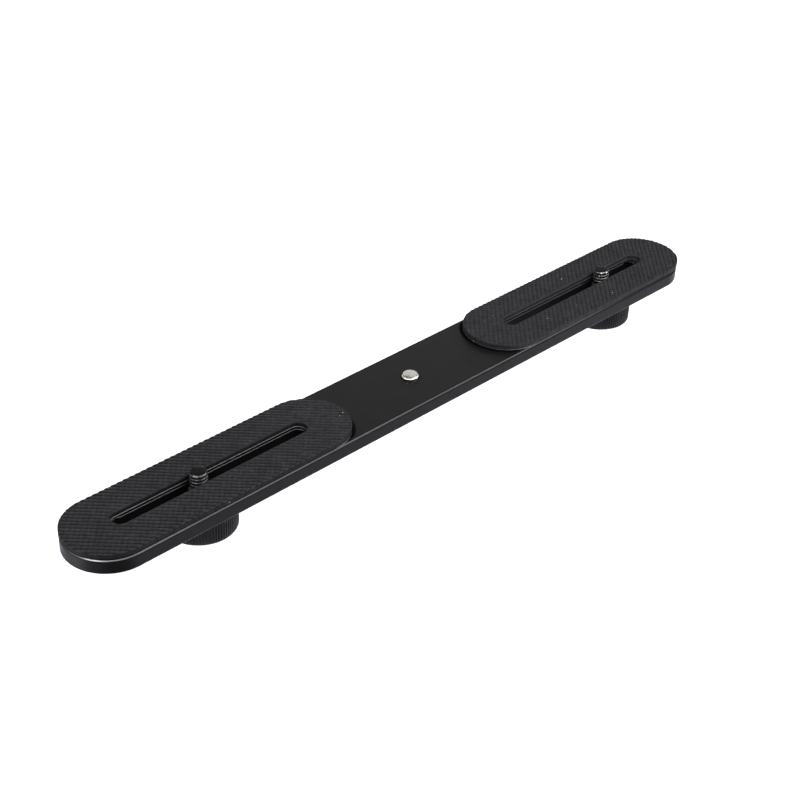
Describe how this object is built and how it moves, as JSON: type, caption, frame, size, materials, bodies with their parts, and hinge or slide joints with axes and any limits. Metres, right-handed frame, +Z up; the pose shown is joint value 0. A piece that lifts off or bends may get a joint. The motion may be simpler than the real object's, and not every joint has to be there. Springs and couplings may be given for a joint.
{
  "type": "twin-camera slide bar",
  "caption": "Flat slotted bar with anti-slip pads that carries cameras side by side, each held by a captive 1/4 in-20 screw that slides along its slot and is turned by a knurled knob.",
  "frame": {"origin": "in the plane of the knobs' lower faces, straight below the centre hole, at the bottom centre of the bounding box", "axes": "+X along the bar towards the right pad, +Y across the bar, +Z up out of the pads"},
  "size_m": [0.3008, 0.0312, 0.0212],
  "materials": {
    "bar_black": "black anodised, satin",
    "pad_rubber": "matt, diamond-knurled",
    "adhesive": "matt",
    "screw_black": "black oxide, glossy",
    "stud_steel": "bright",
    "bush_nylon": "matt",
    "washer_steel": "satin",
    "knob_black": "satin, straight knurl",
    "cap_black": "matt"
  },
  "bodies": {
    "bar": {"bar": "bar_black", "left_pad": "pad_rubber", "left_pad_adhesive": "adhesive", "right_pad": "pad_rubber", "right_pad_adhesive": "adhesive"},
    "centre_stud": {"centre_stud": "stud_steel"},
    "left_slot_bush": {"left_slot_bush": "bush_nylon"},
    "left_washer": {"left_washer": "washer_steel"},
    "left_camera_screw": {"left_camera_screw": "screw_black", "left_knob": "knob_black", "left_knob_cap": "cap_black"},
    "right_slot_bush": {"right_slot_bush": "bush_nylon"},
    "right_washer": {"right_washer": "washer_steel"},
    "right_camera_screw": {"right_camera_screw": "screw_black", "right_knob": "knob_black", "right_knob_cap": "cap_black"}
  },
  "joints": [
    {"name": "left_slot_slide", "type": "slide", "parent": "bar", "child": "left_slot_bush", "axis": [1, 0, 0], "range_m": [-0.0306, 0.0426]},
    {"name": "left_screw_lift", "type": "slide", "parent": "left_slot_bush", "child": "left_washer", "axis": [0, 0, 1], "range_m": [0, 0.0009]},
    {"name": "left_knob_turn", "type": "hinge", "parent": "left_washer", "child": "left_camera_screw", "pos_m": [-0.0985, 0, 0], "axis": [0, 0, 1], "continuous": true},
    {"name": "right_slot_slide", "type": "slide", "parent": "bar", "child": "right_slot_bush", "axis": [1, 0, 0], "range_m": [-0.0536, 0.0196]},
    {"name": "right_screw_lift", "type": "slide", "parent": "right_slot_bush", "child": "right_washer", "axis": [0, 0, 1], "range_m": [0, 0.0009]},
    {"name": "right_knob_turn", "type": "hinge", "parent": "right_washer", "child": "right_camera_screw", "pos_m": [0.1095, 0, 0], "axis": [0, 0, 1], "continuous": true},
    {"name": "centre_stud_turn", "type": "hinge", "parent": "bar", "child": "centre_stud", "pos_m": [0, 0, 0.0106], "axis": [0, 0, 1], "continuous": true}
  ]
}
